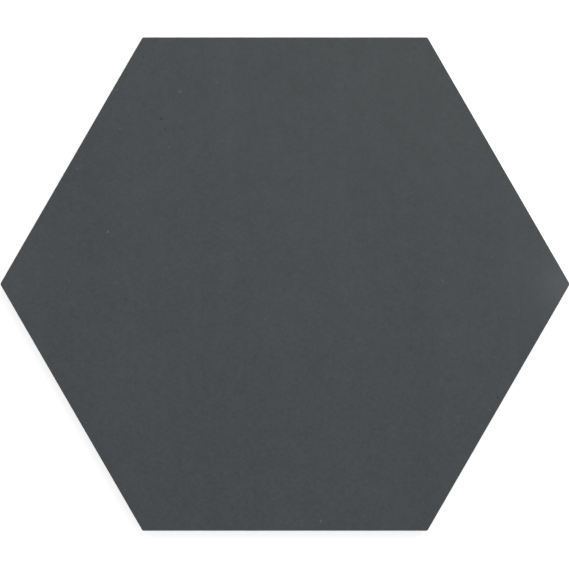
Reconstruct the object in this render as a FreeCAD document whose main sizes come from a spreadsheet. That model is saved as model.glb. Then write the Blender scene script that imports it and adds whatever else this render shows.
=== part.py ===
import FreeCAD, Part

import math
import os

import Sketcher

# A pressed hexagonal floor tile, one solid piece of fired stoneware, lying face up.
# Millimetres and degrees. The origin is under the middle of the tile, on the level that its back
# rests on, with +Z up through the face and +X through a corner.
# From the face down, the sides have a rounded arris, an upright land and a drafted skirt that ends in
# a chamfered heel. The back has a honeycomb of shallow keys for the adhesive, between a plain border
# and a plain middle, where one key is left out.

DRIVING_SIZES = [
    ("across_flats", 200.0, "face, from one side to the opposite side"),
    ("tile_thickness", 9.0, "back to face"),
    ("corner_radius", 1.0, "rounding of the six corners, seen from above"),
    ("arris_radius", 0.4, "rounding where the face turns into the sides"),
    ("land_height", 3.5, "upright band of the sides, from the face down"),
    ("skirt_angle", 3.0, "lean of the sides below the land, in degrees"),
    ("heel_chamfer", 0.3, "bevel round the edge of the back"),
    ("key_border", 8.0, "least plain width from the side of the back to a key"),
    ("key_width", 13.0, "one key across its flats, at the back"),
    ("rib_width", 3.0, "between neighbouring keys, at the back"),
    ("key_depth", 0.7, "back to the floor of a key"),
    ("key_wall_angle", 30.0, "lean of a key's walls, in degrees"),
]

SIDES = 6
FULL_ANGLE = 360
# Between neighbouring corners, and between a corner and the side next to it
CORNER_ANGLE = FULL_ANGLE / SIDES
SIDE_ANGLE = CORNER_ANGLE / 2

# A sketch counts the points of its lines and arcs from 1, and its own X axis, which starts at its
# origin, has this number
START, END, CENTRE = range(1, 4)
X_AXIS = -1

# An edge this close to a level, in millimetres, lies on it
ON_LEVEL = 1e-6

doc = FreeCAD.newDocument("HexagonFloorTile")


def make_sheet():
    sheet = doc.addObject("Spreadsheet::Sheet", "Sizes")
    for row, (alias, value, meaning) in enumerate(DRIVING_SIZES, start=1):
        sheet.set(f"A{row}", meaning)
        sheet.set(f"B{row}", str(value))
        sheet.setAlias(f"B{row}", alias)
    doc.recompute()
    return sheet


sizes = make_sheet()


def size(alias):
    """The value that the sheet holds under this alias."""
    return float(sizes.get(alias))


def origin_feature(body, role):
    """A plane or an axis of the body's own origin, such as XY_Plane."""
    return next(feature for feature in body.Origin.OriginFeatures if feature.Role == role)


def new_sketch(body, name, height="0"):
    """A sketch level with the XY plane of its body, raised by the expression height."""
    sketch = body.newObject("Sketcher::SketchObject", name)
    sketch.AttachmentSupport = [(origin_feature(body, "XY_Plane"), "")]
    sketch.MapMode = "FlatFace"
    sketch.setExpression("AttachmentOffset.Base.z", height)
    return sketch


def new_feature(body, kind, name, fields, ties):
    """A PartDesign feature with its plain fields, and with its sizes tied to the sheet."""
    feature = body.newObject("PartDesign::" + kind, name)
    for field, value in fields.items():
        setattr(feature, field, value)
    for field, expression in ties.items():
        feature.setExpression(field, expression)
    doc.recompute()
    return feature


def constrain(sketch, kind, *places):
    return sketch.addConstraint(Sketcher.Constraint(kind, *places))


def drive(sketch, name, expression, kind, *places):
    """Adds a dimension to the sketch under this name and ties it to the sheet."""
    index = constrain(sketch, kind, *places)
    sketch.renameConstraint(index, name)
    sketch.setExpression(f"Constraints.{name}", expression)


def polar(radius, angle):
    turned = math.radians(angle)
    return FreeCAD.Vector(radius * math.cos(turned), radius * math.sin(turned), 0)


def level_circle(centre, radius):
    return Part.Circle(centre, FreeCAD.Vector(0, 0, 1), radius)


def draw_tile_outline(sketch):
    """A regular hexagon with rounded corners, one of them on +X."""
    half_flats = size("across_flats") / 2
    radius = size("corner_radius")
    to_arc = (half_flats - radius) / math.cos(math.radians(SIDE_ANGLE))
    arcs = []
    sides = []
    for corner in range(SIDES):
        angle = corner * CORNER_ANGLE
        facing = angle + SIDE_ANGLE
        round_corner = level_circle(polar(to_arc, angle), radius)
        first, last = math.radians(angle - SIDE_ANGLE), math.radians(facing)
        arcs.append(sketch.addGeometry(Part.ArcOfCircle(round_corner, first, last), False))
        start = polar(to_arc, angle) + polar(radius, facing)
        end = polar(to_arc, angle + CORNER_ANGLE) + polar(radius, facing)
        sides.append(sketch.addGeometry(Part.LineSegment(start, end), False))
    inscribed = sketch.addGeometry(level_circle(FreeCAD.Vector(), half_flats), True)
    constrain(sketch, "Coincident", inscribed, CENTRE, X_AXIS, START)
    for corner in range(SIDES):
        following = (corner + 1) % SIDES
        constrain(sketch, "Tangent", arcs[corner], END, sides[corner], START)
        constrain(sketch, "Tangent", sides[corner], END, arcs[following], START)
        constrain(sketch, "Tangent", sides[corner], inscribed)
    for corner in range(1, SIDES):
        constrain(sketch, "Equal", arcs[0], arcs[corner])
        constrain(sketch, "Equal", sides[0], sides[corner])
    constrain(sketch, "Horizontal", sides[1])
    drive(sketch, "flats", "Sizes.across_flats", "Diameter", inscribed, 2 * half_flats)
    drive(sketch, "rounding", "Sizes.corner_radius", "Radius", arcs[0], radius)


def draw_key(sketch, name, along, across):
    """A sharp hexagon with two sides facing along X, placed in pitches of the honeycomb."""
    pitch = size("key_width") + size("rib_width")
    reach = size("key_width") / 2 / math.cos(math.radians(SIDE_ANGLE))
    middle = FreeCAD.Vector(pitch * along, pitch * across, 0)
    corners = [middle + polar(reach, SIDE_ANGLE + CORNER_ANGLE * corner) for corner in range(SIDES)]
    lines = [Part.LineSegment(corners[corner - 1], corners[corner]) for corner in range(SIDES)]
    sides = sketch.addGeometry(lines, False)
    circle = sketch.addGeometry(level_circle(middle, reach), True)
    for corner in range(SIDES):
        constrain(sketch, "Coincident", sides[corner - 1], END, sides[corner], START)
        constrain(sketch, "PointOnObject", sides[corner], END, circle)
    for corner in range(1, SIDES):
        constrain(sketch, "Equal", sides[0], sides[corner])
    constrain(sketch, "Vertical", sides[0])
    drive(sketch, f"{name}_reach", f"Sizes.key_width / 2 / cos({SIDE_ANGLE})", "Radius", circle, reach)
    pitches = "(Sizes.key_width + Sizes.rib_width)"
    drive(sketch, f"{name}_along", f"{pitches} * {along}",
          "DistanceX", X_AXIS, START, circle, CENTRE, middle.x)
    drive(sketch, f"{name}_across", f"{pitches} * {across}",
          "DistanceY", X_AXIS, START, circle, CENTRE, middle.y)


def edges_on_level(shape, height):
    """The names of the edges that lie flat at this height."""
    names = []
    for number, edge in enumerate(shape.Edges, start=1):
        box = edge.BoundBox
        if abs(box.ZMin - height) < ON_LEVEL and abs(box.ZMax - height) < ON_LEVEL:
            names.append(f"Edge{number}")
    return names


def press_blank(body):
    """The tile before its back is keyed: land, skirt, arris and heel."""
    outline = new_sketch(body, "TileOutline", "Sizes.tile_thickness - Sizes.land_height")
    draw_tile_outline(outline)
    new_feature(body, "Pad", "Land", {"Profile": outline}, {"Length": "Sizes.land_height"})
    skirt = new_feature(body, "Pad", "Skirt", {"Profile": outline, "Reversed": True},
                        {"Length": "Sizes.tile_thickness - Sizes.land_height",
                         "TaperAngle": "-Sizes.skirt_angle"})
    face_edges = edges_on_level(skirt.Shape, size("tile_thickness"))
    arris = new_feature(body, "Fillet", "Arris", {"Base": (skirt, face_edges)},
                        {"Radius": "Sizes.arris_radius"})
    back_edges = edges_on_level(arris.Shape, 0)
    return new_feature(body, "Chamfer", "Heel", {"Base": (arris, back_edges)},
                       {"Size": "Sizes.heel_chamfer"})


def rings_of_keys():
    """How many rings of keys fit round the plain middle and inside the plain border."""
    lean = math.tan(math.radians(size("skirt_angle")))
    half_back = size("across_flats") / 2 - (size("tile_thickness") - size("land_height")) * lean
    key_reach = size("key_width") / 2 / math.cos(math.radians(SIDE_ANGLE))
    ring_step = (size("key_width") + size("rib_width")) * math.sin(math.radians(CORNER_ANGLE))
    return math.floor((half_back - size("key_border") - key_reach) / ring_step)


def cut_keys(body, name, sketch):
    """Pockets that narrow from the back inwards."""
    return new_feature(body, "Pocket", name, {"Profile": sketch, "Reversed": True, "Refine": False},
                       {"Length": "Sizes.key_depth", "TaperAngle": "-Sizes.key_wall_angle"})


def key_back(body):
    """The honeycomb round a plain middle: a sixth of each ring of keys, turned round to all sides."""
    sixths = []
    for ring in range(1, rings_of_keys() + 1):
        sketch = new_sketch(body, f"Ring{ring}Outline")
        for step in range(ring):
            draw_key(sketch, f"key{step + 1}", ring - step / 2, step * math.sin(math.radians(CORNER_ANGLE)))
        sixths.append(cut_keys(body, f"Ring{ring}Keys", sketch))
    turned = new_feature(body, "PolarPattern", "TurnedKeys",
                         {"Originals": sixths, "Axis": (origin_feature(body, "Z_Axis"), [""]),
                          "Angle": FULL_ANGLE, "Occurrences": SIDES, "Refine": False}, {})
    body.Tip = turned


def make_tile():
    body = doc.addObject("PartDesign::Body", "hexagon_tile")
    body.Label = "hexagon_tile"
    body.Placement = FreeCAD.Placement()
    blank = press_blank(body)
    key_back(body)
    doc.recompute()
    if body.Shape.Volume >= blank.Shape.Volume:
        raise RuntimeError("the keys took nothing away from the back")
    return body


def check(sub_parts):
    for item in doc.Objects:
        if "Invalid" in item.State or "Error" in item.State:
            raise RuntimeError(f"{item.Label} failed: {item.State}")
    for sub_part in sub_parts:
        shape = sub_part.Shape
        if shape.isNull() or not shape.isValid() or len(shape.Solids) != 1:
            raise RuntimeError(f"{sub_part.Label} isn't one valid solid")


def export(sub_parts):
    os.makedirs("parts", exist_ok=True)
    for sub_part in sub_parts:
        sub_part.Shape.exportStep(f"parts/{sub_part.Label}.step")


tile = make_tile()
check([tile])
export([tile])
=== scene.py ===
import math

import bpy
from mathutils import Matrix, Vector, noise
from mathutils.geometry import delaunay_2d_cdt


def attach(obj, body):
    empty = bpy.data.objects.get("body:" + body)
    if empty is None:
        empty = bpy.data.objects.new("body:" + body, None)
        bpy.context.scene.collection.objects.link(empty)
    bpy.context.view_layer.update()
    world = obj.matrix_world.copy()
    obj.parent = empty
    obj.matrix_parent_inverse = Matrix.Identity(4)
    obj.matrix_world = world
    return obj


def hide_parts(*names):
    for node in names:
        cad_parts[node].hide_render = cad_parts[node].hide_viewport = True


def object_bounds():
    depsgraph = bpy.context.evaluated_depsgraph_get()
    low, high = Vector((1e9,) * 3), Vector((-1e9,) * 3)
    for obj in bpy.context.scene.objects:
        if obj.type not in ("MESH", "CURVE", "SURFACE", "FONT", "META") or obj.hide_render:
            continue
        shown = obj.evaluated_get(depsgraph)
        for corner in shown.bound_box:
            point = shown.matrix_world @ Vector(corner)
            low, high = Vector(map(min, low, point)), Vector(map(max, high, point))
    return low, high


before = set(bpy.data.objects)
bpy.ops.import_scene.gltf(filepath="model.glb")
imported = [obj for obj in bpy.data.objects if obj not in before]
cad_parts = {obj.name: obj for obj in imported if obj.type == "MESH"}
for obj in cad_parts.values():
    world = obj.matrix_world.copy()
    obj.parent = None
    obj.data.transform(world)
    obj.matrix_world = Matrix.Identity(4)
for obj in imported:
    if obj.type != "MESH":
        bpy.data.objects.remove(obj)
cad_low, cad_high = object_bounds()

# A hexagonal floor tile of dark unglazed stoneware, lying face up on a pale floor.
# The scene is in metres. Sizes on the tile are in millimetres, and places on it are measured from
# under its middle, with X through a corner, Y square to a side and Z up through the face.

MM = 0.001

# The tile's form, as its solid has it

HALF_FLATS = (cad_high.y - cad_low.y) / 2 / MM
THICKNESS = (cad_high.z - cad_low.z) / MM
CORNER_RADIUS = 1.0
ARRIS_RADIUS = 0.4
LAND_HEIGHT = 3.5
SKIRT_ANGLE = math.radians(3)
HEEL_CHAMFER = 0.3

KEY_RINGS = 6
KEY_WIDTH = 13.0
RIB_WIDTH = 3.0
KEY_DEPTH = 0.7
KEY_WALL_ANGLE = math.radians(30)

SIDES = 6
CORNER_ANGLE = 2 * math.pi / SIDES
SIDE_ANGLE = CORNER_ANGLE / 2

# Pressing and firing leave no edge quite sharp: radii of the small breaks

SKIRT_BREAK_RADIUS = 1.0
HEEL_RADIUS = 0.15
KEY_MOUTH_RADIUS = 0.3
KEY_FLOOR_RADIUS = 0.35
KEY_CORNER_RADIUS = 1.0

# How finely the surfaces are divided: lengths in millimetres, and steps round each bend. The grid of
# points on the face stops short of its edge, by EDGE_CLEARANCE as a share of a step.

FACE_STEP = 1.7
EDGE_CLEARANCE = 1 / 3
SIDE_STEP = 1.0
WALL_STEP = 0.9
PLAIN_EDGE = 0.25
BACK_PLAIN_EDGE = 0.1
KEY_PLAIN_EDGE = 0.45
CORNER_STEPS = 6
ARRIS_STEPS = 6
BREAK_STEPS = 2
KEY_CORNER_STEPS = 3
KEY_FLOOR_RINGS = (0.7, 0.35)

# How flat areas are filled: only inside the outermost edges, and points this near are one

INSIDE_EDGES = 1
SAME_PLACE = 1e-5

# Unevenness of the fired surfaces: how deep it is and how far it is from one rise to the next

FACE_WAVE, FACE_WAVE_LENGTH = 0.03, 45.0
WALL_WAVE, WALL_WAVE_LENGTH = 0.05, 2.5
KEY_WAVE, KEY_WAVE_LENGTH = 0.04, 5.0

# Spots on the face, listed one by one: x, y, radius and strength of each.
# Pale grains of feldspar lie flush with the face, and pinholes are small pits in it, painted darker as
# shade in the pits.

PALE_GRAINS = [
    (-71.7, 21.2, 0.40, 1.0),
    (14.5, -96.1, 0.40, 0.9),
    (83.1, -51.1, 0.35, 0.6),
    (63.7, 1.1, 0.35, 0.6),
    (-46.9, 55.4, 0.35, 0.6),
    (-67.9, 78.7, 0.35, 0.6),
    (-64.6, -83.4, 0.35, 0.5),
    (79.8, -57.3, 0.35, 0.45),
    (-80.5, -56.3, 0.35, 0.45),
    (-42.6, 77.9, 0.70, 0.35),
    (54.6, -95.0, 0.35, 0.4),
    (25.1, -4.2, 0.35, 0.4),
    (-66.9, 63.0, 0.35, 0.4),
    (-27.5, 81.7, 0.35, 0.4),
    (-43.6, 46.3, 0.35, 0.35),
    (83.9, 11.1, 0.35, 0.35),
    (81.1, -26.6, 0.30, 0.35),
    (-36.0, -11.5, 0.30, 0.35),
    (-87.3, 0.8, 0.30, 0.35),
    (70.4, -54.0, 0.30, 0.3),
    (-81.9, -20.4, 0.30, 0.3),
]

PINHOLES = [
    (-50.2, 66.8, 0.45, 1.0),
    (86.2, -46.1, 0.40, 0.9),
    (-48.6, 62.5, 0.60, 0.6),
    (-57.5, 91.9, 0.35, 0.7),
    (-104.0, -15.9, 0.35, 0.6),
    (34.2, 31.5, 0.35, 0.6),
    (-26.7, 80.2, 0.35, 0.6),
    (99.4, 22.7, 0.30, 0.6),
    (23.5, -85.2, 0.30, 0.5),
    (38.6, 65.3, 0.30, 0.5),
    (-31.9, -53.0, 0.30, 0.5),
    (-41.9, 62.9, 0.30, 0.5),
    (-67.7, 62.1, 0.30, 0.5),
    (-5.4, 94.2, 0.30, 0.5),
]

PINHOLE_DEPTH = 0.16

# A spot is a middle point and rings of points: each ring's share of the radius and of the strength.
# The face's grid of points keeps clear of it by this many times the radius.

SPOT_RINGS = ((0.35, 1.0), (0.7, 0.85), (1.0, 0.35), (1.3, 0.0))
SPOT_POINTS = 10
SPOT_UNEVENNESS = 0.25
SPOT_CLEARANCE = 1.6

# How much kiln wash the floor of a key takes, against the ribs, and the foot of the sides, and how
# high it creeps up them

KEY_WASH = 0.3
WASH_CREEP, WASH_CREEP_HEIGHT = 0.5, 2.0

# Painted highlight at the corners: how strongly each corner is painted pale, round from the one on X,
# how far the painted highlight reaches and how fast it fades past that

CORNER_HIGHLIGHTS = (1.0, 0.0, 0.05, 0.22, 0.0, 0.0)
HIGHLIGHT_REACH = 13.0
HIGHLIGHT_FADE = 1.5


def towards(angle):
    return Vector((math.cos(angle), math.sin(angle)))


def waves(place, length):
    """Smooth unevenness from 0 to 1, the same on every run."""
    return 0.5 + 0.5 * max(-1, min(1, noise.noise(Vector(place) / length)))


def rounded(corners):
    """A polyline whose inner corners are arcs. Each corner is its place, radius and arc steps."""
    points = [Vector(corners[0][0])]
    for before, (corner, radius, steps), after in zip(corners, corners[1:], corners[2:]):
        corner = Vector(corner)
        inwards = (corner - Vector(before[0])).normalized()
        outwards = (Vector(after[0]) - corner).normalized()
        turn = inwards.angle(outwards)
        across = (outwards - inwards * inwards.dot(outwards)).normalized()
        start = corner - inwards * radius * math.tan(turn / 2)
        for step in range(steps + 1):
            angle = turn * step / steps
            arc = inwards * math.sin(angle) + across * (1 - math.cos(angle))
            points.append(start + radius * arc)
    points.append(Vector(corners[-1][0]))
    return points


def divided(points, longest):
    """The same polyline with points added, so that no piece of it is longer than this."""
    finer = [points[0]]
    for before, after in zip(points, points[1:]):
        pieces = math.ceil((after - before).length / longest)
        finer += [before.lerp(after, piece / pieces) for piece in range(1, pieces + 1)]
    return finer


class Shape:
    """Points in millimetres with their marks, and faces, gathered for one mesh.

    A mark is a number from 0 to 1 on each point that tells the material what is there.
    """

    MARKS = ("grain", "pinhole", "scuff", "arris", "wall", "skirt", "back")

    def __init__(self):
        self.points = []
        self.faces = []
        self.marks = {mark: [] for mark in self.MARKS}

    def point(self, x, y, z, **marks):
        self.points.append((x, y, z))
        for mark, values in self.marks.items():
            values.append(marks.get(mark, 0.0))
        return len(self.points) - 1

    def band(self, upper, lower):
        """Quads between two closed loops of as many points."""
        for here in range(len(upper)):
            following = (here + 1) % len(upper)
            self.faces.append((upper[following], upper[here], lower[here], lower[following]))

    def fill(self, outline, holes=(), inner=(), face_down=False):
        """Triangles inside an outline and outside its convex holes, through the inner points."""
        indices = []
        edges = []
        for loop in (outline, *holes):
            start = len(indices)
            indices += loop
            edges += [(start + here, start + (here + 1) % len(loop)) for here in range(len(loop))]
        indices += inner
        hole_of = {index: number for number, hole in enumerate(holes) for index in hole}
        level = [Vector(self.points[index][:2]) for index in indices]
        _, _, triangles, sources, _, _ = delaunay_2d_cdt(level, edges, [], INSIDE_EDGES, SAME_PLACE)
        for triangle in triangles:
            corners = [indices[sources[corner][0]] for corner in triangle]
            touched = {hole_of.get(corner) for corner in corners}
            inside_hole = len(touched) == 1 and None not in touched
            if not inside_hole:
                self.faces.append(corners[::-1] if face_down else corners)

    def mesh(self, name):
        made = bpy.data.meshes.new(name)
        made.from_pydata([Vector(point) * MM for point in self.points], [], self.faces)
        for mark, values in self.marks.items():
            layer = made.attributes.new(mark, "FLOAT", "POINT")
            layer.data.foreach_set("value", values)
        made.shade_smooth()
        made.validate()
        return made


def face_level(x, y):
    return THICKNESS - FACE_WAVE * waves((x, y, 0), FACE_WAVE_LENGTH)


def scuff_at(x, y):
    """How much of the painted highlight at the corners is left here."""
    corner_reach = (HALF_FLATS - CORNER_RADIUS) / math.cos(SIDE_ANGLE) + CORNER_RADIUS
    scuff = 0
    for corner, strength in enumerate(CORNER_HIGHLIGHTS):
        distance = math.dist((x, y), corner_reach * towards(corner * CORNER_ANGLE))
        scuff += strength * (1 + (distance / HIGHLIGHT_REACH) ** 2) ** -HIGHLIGHT_FADE
    return scuff


def side_profile():
    """From the plain face, round the arris and down the side to the plain back: inset and height."""
    skirt_foot = (THICKNESS - LAND_HEIGHT) * math.tan(SKIRT_ANGLE)
    heel_top = HEEL_CHAMFER * math.cos(SKIRT_ANGLE)
    back_inset = skirt_foot + HEEL_CHAMFER
    return divided(rounded([
        ((ARRIS_RADIUS + PLAIN_EDGE, THICKNESS), 0, 0),
        ((0, THICKNESS), ARRIS_RADIUS, ARRIS_STEPS),
        ((0, THICKNESS - LAND_HEIGHT), SKIRT_BREAK_RADIUS, BREAK_STEPS),
        ((skirt_foot - HEEL_CHAMFER * math.sin(SKIRT_ANGLE), heel_top), HEEL_RADIUS, BREAK_STEPS),
        ((back_inset, 0), HEEL_RADIUS, BREAK_STEPS),
        ((back_inset + BACK_PLAIN_EDGE, 0), 0, 0),
    ]), WALL_STEP)


def side_columns():
    """Once round the tile: the middle that a column of points is rounded about, and its way out."""
    half_length = (HALF_FLATS - CORNER_RADIUS) * math.tan(SIDE_ANGLE)
    pieces = round(2 * half_length / SIDE_STEP)
    columns = []
    for side in range(SIDES):
        facing = side * CORNER_ANGLE + SIDE_ANGLE
        outwards, along = towards(facing), towards(facing + math.pi / 2)
        for piece in range(pieces + 1):
            place = half_length * (2 * piece / pieces - 1)
            columns.append((outwards * (HALF_FLATS - CORNER_RADIUS) + along * place, outwards))
        corner = columns[-1][0]
        for step in range(1, CORNER_STEPS):
            columns.append((corner, towards(facing + CORNER_ANGLE * step / CORNER_STEPS)))
    return columns


def build_sides(shape):
    """The arris, land, skirt and heel. Gives the loops where the face and the back join them."""
    columns = side_columns()
    rows = []
    for inset, height in side_profile():
        below_face = THICKNESS - height
        wall = min(1, below_face / ARRIS_RADIUS)
        arris = max(0, 1 - abs(inset - below_face) / ARRIS_RADIUS)
        skirt = 1 if below_face > LAND_HEIGHT + SKIRT_BREAK_RADIUS * SKIRT_ANGLE else 0
        back = 1 if height < HEEL_RADIUS else WASH_CREEP * max(0, 1 - height / WASH_CREEP_HEIGHT)
        row = []
        for middle, outwards in columns:
            x, y = middle + outwards * (CORNER_RADIUS - inset)
            push = WALL_WAVE * waves((x, y, height), WALL_WAVE_LENGTH) * wall
            x, y = middle + outwards * (CORNER_RADIUS - inset - push)
            drop = (THICKNESS - face_level(x, y)) * (1 - wall)
            # Each point also takes the painted highlight at the corners
            row.append(shape.point(x, y, height - drop, arris=arris, wall=wall, skirt=skirt, back=back,
                                   scuff=scuff_at(x, y)))
        rows.append(row)
    for upper, lower in zip(rows, rows[1:]):
        shape.band(upper, lower)
    return rows[0], rows[-1]


def spot_points(x, y, radius):
    """The points of a spot, each with its share of the strength there."""
    points = [(x, y, 1)]
    for share, strength in SPOT_RINGS:
        for step in range(SPOT_POINTS):
            way = towards(2 * math.pi * (step + share) / SPOT_POINTS)
            uneven = 1 + SPOT_UNEVENNESS * noise.noise(Vector((x + way.x, y + way.y, 0)))
            reach = radius * share * uneven
            points.append((x + way.x * reach, y + way.y * reach, strength))
    return points


def on_plain_face(x, y):
    """Whether a point of the face's grid keeps clear of the edge and of the spots."""
    reach = HALF_FLATS - ARRIS_RADIUS - PLAIN_EDGE - EDGE_CLEARANCE * FACE_STEP
    ways = [towards(side * CORNER_ANGLE + SIDE_ANGLE) for side in range(SIDES)]
    clear_of_spots = all(math.dist((x, y), spot[:2]) > SPOT_CLEARANCE * spot[2]
                         for spot in PALE_GRAINS + PINHOLES)
    return clear_of_spots and all(way.dot((x, y)) < reach for way in ways)


def face_point(shape, x, y, grain=0.0, pinhole=0.0):
    level = face_level(x, y) - PINHOLE_DEPTH * pinhole
    # Each point also takes the painted highlight at the corners
    return shape.point(x, y, level, grain=grain, pinhole=pinhole, scuff=scuff_at(x, y))


def build_face(shape, outline):
    """The face: a triangular grid of points with finer rings at each grain and pinhole."""
    inner = []
    for *middle, radius, strength in PALE_GRAINS:
        for x, y, share in spot_points(*middle, radius):
            inner.append(face_point(shape, x, y, grain=strength * share))
    for *middle, radius, strength in PINHOLES:
        for x, y, share in spot_points(*middle, radius):
            inner.append(face_point(shape, x, y, pinhole=strength * share))
    row_step = FACE_STEP * math.sin(CORNER_ANGLE)
    rows = math.ceil(HALF_FLATS / row_step)
    for row in range(-rows, rows + 1):
        for column in range(-rows, rows + 1):
            x = (column + row % 2 / 2) * FACE_STEP
            y = row * row_step
            if on_plain_face(x, y):
                inner.append(face_point(shape, x, y))
    shape.fill(outline, inner=inner)


def key_middles():
    """Where the keys are: rings of the honeycomb round the plain middle."""
    pitch = KEY_WIDTH + RIB_WIDTH
    middles = []
    for sector in range(SIDES):
        outwards, round_ring = towards(sector * CORNER_ANGLE), towards((sector + 2) * CORNER_ANGLE)
        for ring in range(1, KEY_RINGS + 1):
            middles += [pitch * (ring * outwards + step * round_ring) for step in range(ring)]
    return middles


def key_floor_point(shape, x, y):
    height = KEY_DEPTH - KEY_WAVE * waves((x, y, 0), KEY_WAVE_LENGTH)
    return shape.point(x, y, height, back=KEY_WASH)


def build_key(shape, middle):
    """One key: rounded mouth, leaning walls and a slightly uneven floor. Gives the loop round it."""
    foot = KEY_DEPTH * math.tan(KEY_WALL_ANGLE)
    profile = rounded([
        ((-KEY_PLAIN_EDGE, 0), 0, 0),
        ((0, 0), KEY_MOUTH_RADIUS, BREAK_STEPS),
        ((foot, KEY_DEPTH), KEY_FLOOR_RADIUS, BREAK_STEPS),
        ((foot + KEY_PLAIN_EDGE, KEY_DEPTH), 0, 0),
    ])
    corner_reach = (KEY_WIDTH / 2 - KEY_CORNER_RADIUS) / math.cos(SIDE_ANGLE)
    rows = []
    for inset, height in profile:
        row = []
        for side in range(SIDES):
            facing = side * CORNER_ANGLE
            corner = middle + towards(facing + SIDE_ANGLE) * corner_reach
            for step in range(KEY_CORNER_STEPS + 1):
                turned = towards(facing + CORNER_ANGLE * step / KEY_CORNER_STEPS)
                x, y = corner + turned * (KEY_CORNER_RADIUS - inset)
                row.append(shape.point(x, y, height, back=1 - (1 - KEY_WASH) * height / KEY_DEPTH))
        rows.append(row)
    floor_edge = [Vector(shape.points[index][:2]) for index in rows[-1]]
    for share in KEY_FLOOR_RINGS:
        rows.append([key_floor_point(shape, *middle.lerp(place, share)) for place in floor_edge])
    for outer, inner in zip(rows, rows[1:]):
        shape.band(outer, inner)
    top = key_floor_point(shape, *middle)
    last = rows[-1]
    shape.faces += [(last[here], last[here - 1], top) for here in range(len(last))]
    return rows[0]


def build_back(shape, outline):
    mouths = [build_key(shape, middle) for middle in key_middles()]
    shape.fill(outline, holes=mouths, face_down=True)


def build_tile():
    shape = Shape()
    face_outline, back_outline = build_sides(shape)
    build_face(shape, face_outline)
    build_back(shape, back_outline)
    tile = bpy.data.objects.new("tile_body", shape.mesh("tile_body"))
    bpy.context.collection.objects.link(tile)
    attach(tile, "root")
    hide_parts("hexagon_tile")
    return tile


# Camera, straight above the tile, whose corners reach the sides of the photograph

PHOTO_PIXELS = 569
TILE_PIXELS = 570.1
CAMERA_OFFSET = (-0.19, -0.19)
LENS = 200.0
SENSOR = 36.0


def place_camera():
    across_corners = 2 * HALF_FLATS * MM / math.cos(SIDE_ANGLE)
    frame_width = across_corners * PHOTO_PIXELS / TILE_PIXELS
    camera = bpy.data.objects.new("camera", bpy.data.cameras.new("camera"))
    camera.data.lens = LENS
    camera.data.sensor_width = SENSOR
    x, y = CAMERA_OFFSET
    camera.location = (x * MM, y * MM, cad_high.z + frame_width * LENS / SENSOR)
    bpy.context.collection.objects.link(camera)
    bpy.context.scene.camera = camera


# The colour sockets of a mix node

MIX_SHARE, MIX_PLAIN, MIX_MIXED = 0, 6, 7
MIX_RESULT = 2

# Noise is made on a cubic grid, which would show as a weave on surfaces that lie along it, so it is
# turned askew of the tile

NOISE_TURN = (0.6, 0.8, 0.4)


class Nodes:
    """The node tree of a material or a world, with short calls for the nodes that are used here."""

    def __init__(self, owner):
        owner.use_nodes = True
        self.tree = owner.node_tree
        self.tree.nodes.clear()

    def add(self, kind, inputs=(), **settings):
        """A node with its settings. Its inputs are linked to sockets or set to plain values."""
        made = self.tree.nodes.new("ShaderNode" + kind)
        for name, value in settings.items():
            setattr(made, name, value)
        for name, value in dict(inputs).items():
            if isinstance(value, bpy.types.NodeSocket):
                self.tree.links.new(value, made.inputs[name])
            else:
                made.inputs[name].default_value = value
        return made

    def math(self, operation, *values):
        return self.add("Math", enumerate(values), operation=operation).outputs[0]

    def mapped(self, value, low, high, to_low, to_high):
        """The value carried from one range to another, and held inside it."""
        ranges = {"Value": value, "From Min": low, "From Max": high, "To Min": to_low, "To Max": to_high}
        return self.add("MapRange", ranges).outputs["Result"]

    def scaled(self, vector, scale):
        """The vector times one number, or times a number for each of its three directions."""
        if isinstance(scale, tuple):
            return self.add("VectorMath", {0: vector, 1: scale}, operation="MULTIPLY").outputs[0]
        return self.add("VectorMath", {0: vector, "Scale": scale}, operation="SCALE").outputs[0]

    def mix(self, share, plain, mixed):
        """Two colours mixed. The node has sockets for other kinds too, so these go by number."""
        sockets = {MIX_SHARE: share, MIX_PLAIN: plain, MIX_MIXED: mixed}
        return self.add("Mix", sockets, data_type="RGBA").outputs[MIX_RESULT]

    def noise(self, place, length, detail=0.0, crispness=0.5):
        """Cloudy noise about 0.5, this far from one cloud to the next, with finer clouds in it."""
        turn = {"Vector": place, "Rotation": NOISE_TURN}
        askew = self.add("VectorRotate", turn, rotation_type="EULER_XYZ").outputs[0]
        settings = {"Vector": askew, "Scale": 1 / length, "Detail": detail, "Roughness": crispness}
        return self.add("TexNoise", settings).outputs["Fac"]

    def mark(self, name):
        return self.add("Attribute", attribute_name=name).outputs["Fac"]


def colour(red, green, blue):
    return (red, green, blue, 1)


# Stoneware. Lengths are in millimetres. Swings and strengths are shares of the body's own tone.

BODY = colour(0.0571, 0.0657, 0.0719)
PALE_GRAIN = colour(0.150, 0.160, 0.165)
# Paleness of the arris, partly real wear and partly painted highlight, and of the painted highlight at
# the corners
WEAR_AND_HIGHLIGHT = colour(0.132, 0.141, 0.151)
KILN_WASH = colour(0.270, 0.265, 0.250)
SHINE = 0.3

# Clouds of tone: how far it is from one cloud to the next, and the swing in tone

CLOUDS = {30.0: 0.08, 13.0: 0.06, 6.0: 0.09, 3.0: 0.12, 1.5: 0.39, 0.8: 0.20, 0.35: 0.10}

# Faint streaks along Y, left where the powder was struck off: how wide, and the swing in tone

STREAKS = {20.0: 0.10, 7.0: 0.06, 2.5: 0.05}
STREAK_STRETCH = (1, 0.03, 0.03)

# Mineral flecks: spacing, radius, strength of the boldest, and rarity of the bold among the faint

FINE_FLECKS = (1.7, 0.45, 0.36, 3)
BOLD_FLECKS = (7.0, 0.6, 0.7, 9)
FLECK_CORE = 0.4

# Painted shade in the pinholes: how much of the body's tone is left at the bottom of a pit
PINHOLE_SHADE = 0.5
SKIRT_SWING = 0.06

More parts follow.
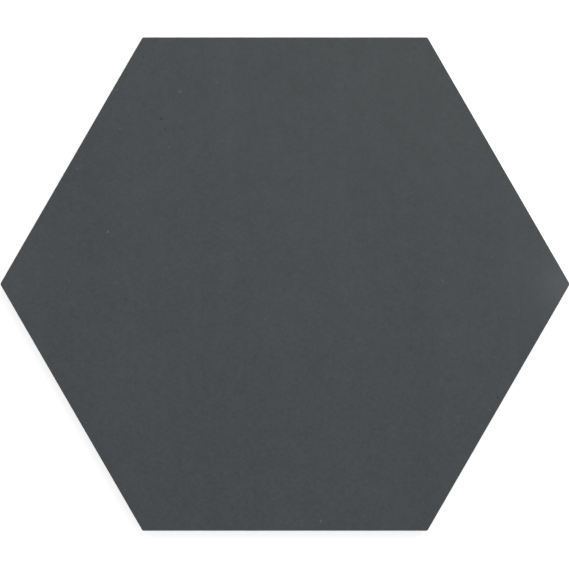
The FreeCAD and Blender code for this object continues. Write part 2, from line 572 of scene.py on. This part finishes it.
# Relief: the grit of the whole surface, its soft swells, the marks that the die draws down the sides

GRIT_LENGTH, GRIT_HEIGHT, GRIT_DETAIL = 0.5, 0.03, 4
SWELL_LENGTH, SWELL_HEIGHT = 3.0, 0.012
DRAWN_LENGTH, DRAWN_HEIGHT, DRAWN_SWING = 0.9, 0.10, 0.3
DRAWN_STRETCH = (1, 1, 0.08)

# Kiln wash lies on the back in patches swept along X, and this thick

WASH_LENGTH, WASH_HEIGHT = 7.0, 0.03
WASH_STRETCH = (0.5, 1, 1)
WASH_DETAIL, WASH_CRISPNESS = 8, 0.7

# Noise keeps mostly inside its range, about its middle, and is carried to other pairs of numbers:
# the roughness, the wear and painted highlight on an arris, the paleness of the painted highlight at the
# corners, and the powder and patches of the wash

NOISE_RANGE = (0.3, 0.7)
NOISE_MIDDLE = 0.5
MATT_LENGTH = 1.5
MATT_RANGE = (0.60, 0.70)
WEAR_AND_HIGHLIGHT_RANGE = (0.1, 0.5)
HIGHLIGHT_RANGE = (0.4, 0.6)
POWDER_RANGE = (-0.08, 0.08)
WASH_EDGE = (0.42, 0.66)
WASH_RANGE = (0.04, 0.6)
WASH_MATT = 0.25


def flecks(nodes, place, spacing, radius, strength, rarity):
    """Round flecks, one in each cell, as many paler as darker. The higher the rarity, the fewer."""
    cells = nodes.add("TexVoronoi", {"Vector": place, "Scale": 1 / spacing})
    chance = nodes.add("SeparateColor", {0: cells.outputs["Color"]}).outputs[0]
    signed = nodes.math("MULTIPLY_ADD", chance, 2, -1)
    tone = nodes.math("MULTIPLY", nodes.math("POWER", signed, rarity), strength)
    edge = radius / spacing
    near = nodes.mapped(cells.outputs["Distance"], FLECK_CORE * edge, edge, 1, 0)
    return nodes.math("MULTIPLY", tone, near)


def body_colour(nodes, place, drawn):
    """The body's own colour with its clouds, its flecks, what pressing does to the sides and painted
    shade in the pinholes.
    """
    tone = 1 - NOISE_MIDDLE * (sum(CLOUDS.values()) + sum(STREAKS.values()))
    stretched = nodes.scaled(place, STREAK_STRETCH)
    for where, swings in ((place, CLOUDS), (stretched, STREAKS)):
        for length, swing in swings.items():
            tone = nodes.math("MULTIPLY_ADD", nodes.noise(where, length), swing, tone)
    for kind in (FINE_FLECKS, BOLD_FLECKS):
        tone = nodes.math("ADD", tone, flecks(nodes, place, *kind))
    tone = nodes.math("MULTIPLY_ADD", drawn, DRAWN_SWING, tone)
    tone = nodes.math("MULTIPLY_ADD", nodes.mark("skirt"), SKIRT_SWING, tone)
    # Painted shade: the pinholes are painted darker
    pinhole_shade = nodes.mapped(nodes.mark("pinhole"), 0, 1, 1, PINHOLE_SHADE)
    return nodes.scaled(BODY[:3], nodes.math("MULTIPLY", tone, pinhole_shade))


def stoneware():
    """Matt body, coloured all through: grain, wear, and kiln wash on the back, with a painted highlight
    on the arris and corners and painted shade in the pinholes.
    """
    material = bpy.data.materials.new("stoneware")
    nodes = Nodes(material)
    place = nodes.scaled(nodes.add("TexCoord").outputs["Object"], 1 / MM)
    grit = nodes.noise(place, GRIT_LENGTH, GRIT_DETAIL)
    streaks = nodes.noise(nodes.scaled(place, DRAWN_STRETCH), DRAWN_LENGTH, GRIT_DETAIL)
    drawn = nodes.math("MULTIPLY", nodes.mark("wall"), nodes.math("SUBTRACT", streaks, NOISE_MIDDLE))

    grained = nodes.mix(nodes.mark("grain"), body_colour(nodes, place, drawn), PALE_GRAIN)
    # Painted highlight: the arris is painted paler, partly as real wear and partly as the light it would
    # catch, and the corners are painted pale, the one on X most
    worn_and_lit = nodes.math("MULTIPLY", nodes.mark("arris"), nodes.mapped(grit, *NOISE_RANGE, *WEAR_AND_HIGHLIGHT_RANGE))
    gritty = nodes.mapped(grit, *NOISE_RANGE, *HIGHLIGHT_RANGE)
    scuffed = nodes.math("MULTIPLY", nodes.mark("scuff"), gritty)
    pale = nodes.mix(nodes.math("ADD", worn_and_lit, scuffed), grained, WEAR_AND_HIGHLIGHT)

    swept = nodes.scaled(place, WASH_STRETCH)
    patches = nodes.noise(swept, WASH_LENGTH, WASH_DETAIL, WASH_CRISPNESS)
    powder = nodes.math("ADD", patches, nodes.mapped(grit, *NOISE_RANGE, *POWDER_RANGE))
    wash = nodes.math("MULTIPLY", nodes.mark("back"), nodes.mapped(powder, *WASH_EDGE, *WASH_RANGE))

    matt = nodes.mapped(nodes.noise(place, MATT_LENGTH), *NOISE_RANGE, *MATT_RANGE)
    height = nodes.math("MULTIPLY", grit, GRIT_HEIGHT)
    height = nodes.math("MULTIPLY_ADD", nodes.noise(place, SWELL_LENGTH), SWELL_HEIGHT, height)
    height = nodes.math("MULTIPLY_ADD", drawn, DRAWN_HEIGHT, height)
    height = nodes.math("MULTIPLY_ADD", wash, WASH_HEIGHT, height)
    relief = nodes.add("Bump", {"Height": height, "Distance": MM})

    shader = nodes.add("BsdfPrincipled", {
        "Base Color": nodes.mix(wash, pale, KILN_WASH),
        "Roughness": nodes.math("MULTIPLY_ADD", wash, WASH_MATT, matt),
        "Specular IOR Level": SHINE,
        "Normal": relief.outputs[0],
    })
    nodes.add("OutputMaterial", {"Surface": shader.outputs[0]})
    return material


# Light and floor. What the lamps don't light directly is lit by the world, and rays that see the floor
# or the world from the camera, by a reflection or through glass find them white.

AMBIENT = colour(0.500, 0.498, 0.583)
WHITE = colour(1, 1, 1)

FLOOR_SIZE = 8.0
FLOOR_DROP = 0.05 * MM
FLOOR_COLOUR = colour(0.8, 0.8, 0.8)
FLOOR_LIFT = colour(0.65, 0.65, 0.61)

KEY_LAMP_PLACE = (0.160, 0.300, 0.610)
KEY_LAMP_SIZE = 0.45
KEY_LAMP_POWER = 1.85
KEY_LAMP_COLOUR = (1.01, 1.0, 0.73)


def seen_directly(nodes):
    """1 for rays from the camera, from a reflection or through glass, and 0 for those that light."""
    path = nodes.add("LightPath").outputs
    by_eye = nodes.math("MAXIMUM", path["Is Camera Ray"], path["Is Glossy Ray"])
    return nodes.math("MAXIMUM", by_eye, path["Is Transmission Ray"])


def make_floor():
    half = FLOOR_SIZE / 2
    mesh = bpy.data.meshes.new("floor")
    corners = [(-half, -half), (half, -half), (half, half), (-half, half)]
    mesh.from_pydata([(x, y, -FLOOR_DROP) for x, y in corners], [], [range(len(corners))])
    floor = bpy.data.objects.new("floor", mesh)
    bpy.context.collection.objects.link(floor)
    material = bpy.data.materials.new("floor")
    nodes = Nodes(material)
    plain = nodes.add("BsdfDiffuse", {"Color": FLOOR_COLOUR})
    lift = nodes.add("Emission", {"Color": FLOOR_LIFT, "Strength": seen_directly(nodes)})
    both = nodes.add("AddShader", {0: plain.outputs[0], 1: lift.outputs[0]})
    nodes.add("OutputMaterial", {"Surface": both.outputs[0]})
    mesh.materials.append(material)


def make_world():
    world = bpy.data.worlds.new("studio")
    nodes = Nodes(world)
    light = nodes.add("Background", {"Color": nodes.mix(seen_directly(nodes), AMBIENT, WHITE)})
    nodes.add("OutputWorld", {"Surface": light.outputs[0]})
    bpy.context.scene.world = world


def add_key_lamp():
    """A soft square lamp above and beyond the tile, to the right, aimed at its middle."""
    data = bpy.data.lights.new("key", "AREA")
    data.size = KEY_LAMP_SIZE
    data.energy = KEY_LAMP_POWER
    data.color = KEY_LAMP_COLOUR
    lamp = bpy.data.objects.new("key", data)
    lamp.location = KEY_LAMP_PLACE
    lamp.rotation_mode = "QUATERNION"
    lamp.rotation_quaternion = (-lamp.location).to_track_quat("-Z", "Y")
    lamp.visible_camera = False
    bpy.context.collection.objects.link(lamp)


tile = build_tile()
tile.data.materials.append(stoneware())
place_camera()
make_floor()
make_world()
add_key_lamp()

bpy.context.scene.view_settings.view_transform = "Standard"
